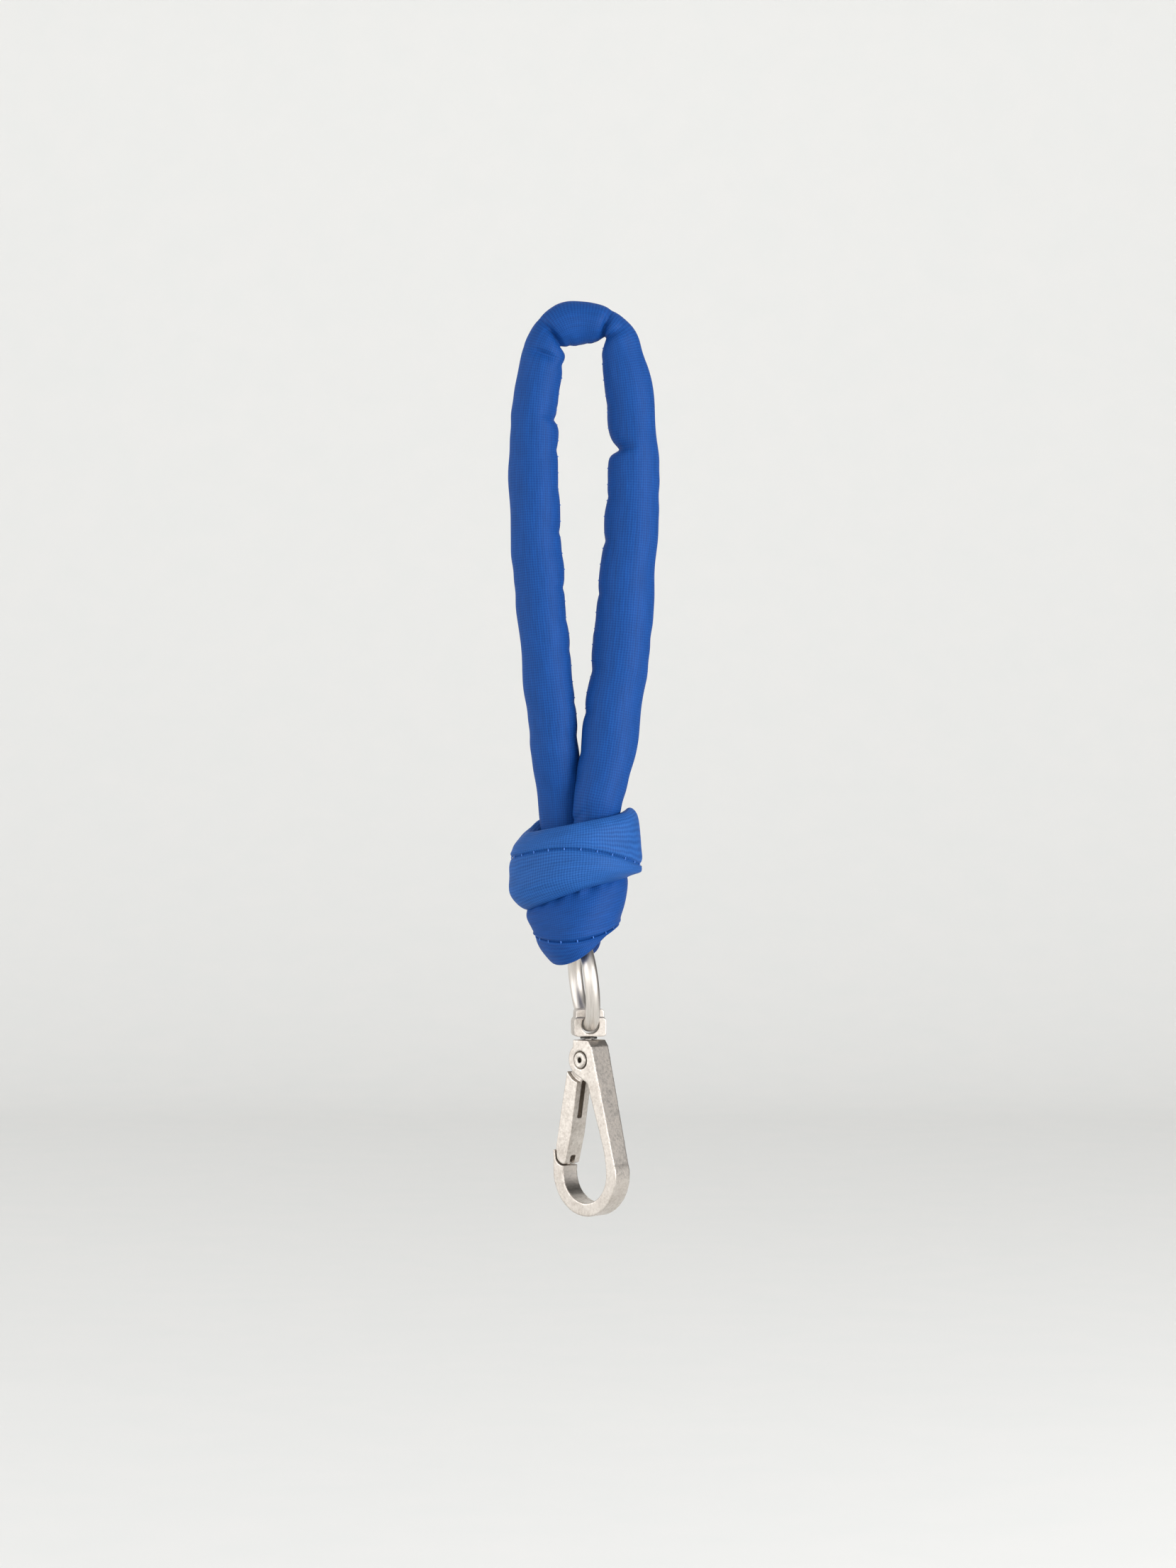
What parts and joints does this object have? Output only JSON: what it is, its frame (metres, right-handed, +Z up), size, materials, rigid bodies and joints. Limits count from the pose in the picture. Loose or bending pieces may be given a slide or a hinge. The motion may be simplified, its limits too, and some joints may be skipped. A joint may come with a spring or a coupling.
{
  "type": "wrist strap",
  "caption": "Stuffed nylon wrist strap tied in a knot round an O-ring, with a swivel eye and a sprung snap hook.",
  "frame": {"origin": "top of the space inside the hand loop, where the strap hangs from a wrist or a peg", "axes": "+Z up, along the hanging strap from the hook to the hand loop; +X to the right across the loop; the front faces -Y"},
  "size_m": [0.0432, 0.0332, 0.2575],
  "materials": {
    "nylon_cover": "royal-blue plain-woven nylon, matte with a slight sheen",
    "wadding": "white polyester fibre",
    "seam_thread": "blue polyester sewing thread",
    "cast_zinc": "antique-silver plated zinc casting, satin and slightly grainy",
    "ring_wire": "antique-silver plated steel wire, satin",
    "dark_steel": "blackened spring steel"
  },
  "bodies": {
    "strap": {"strap_cover": "nylon_cover", "strap_wadding": "wadding", "loop_seam_thread": "seam_thread", "knot_upper_turn": "nylon_cover", "knot_lower_turn": "nylon_cover", "upper_seam_thread": "seam_thread", "lower_seam_thread": "seam_thread", "end_tab": "nylon_cover", "tab_bar_tack": "seam_thread"},
    "ring": {"o_ring": "ring_wire"},
    "eye": {"swivel_eye": "cast_zinc", "swivel_washer": "dark_steel"},
    "hook": {"hook_body": "cast_zinc", "gate_rivet": "ring_wire"},
    "gate": {"gate_lever": "cast_zinc", "gate_spring": "dark_steel"}
  },
  "joints": [
    {"name": "ring_swing", "type": "hinge", "parent": "strap", "child": "ring", "pos_m": [-0.00068, -0.00025, -0.16783], "axis": [-0.1805, 0.9836, 0], "range_deg": [-25, 10]},
    {"name": "eye_slide", "type": "hinge", "parent": "ring", "child": "eye", "pos_m": [0.0007, 0, -0.1801], "axis": [0.9772, 0.1794, 0.1132], "range_deg": [-100, 100]},
    {"name": "swivel_spin", "type": "hinge", "parent": "eye", "child": "hook", "pos_m": [0.00208, 0.00025, -0.1962], "axis": [0, 0, 1], "continuous": true},
    {"name": "gate_open", "type": "hinge", "parent": "hook", "child": "gate", "pos_m": [0.00208, 0.00025, -0.2022], "axis": [-0.6947, -0.7193, 0], "range_deg": [0, 28], "stiffness_Nm_per_rad": 0.03, "springref_deg": -28.65, "deforming": ["gate_spring"]}
  ]
}
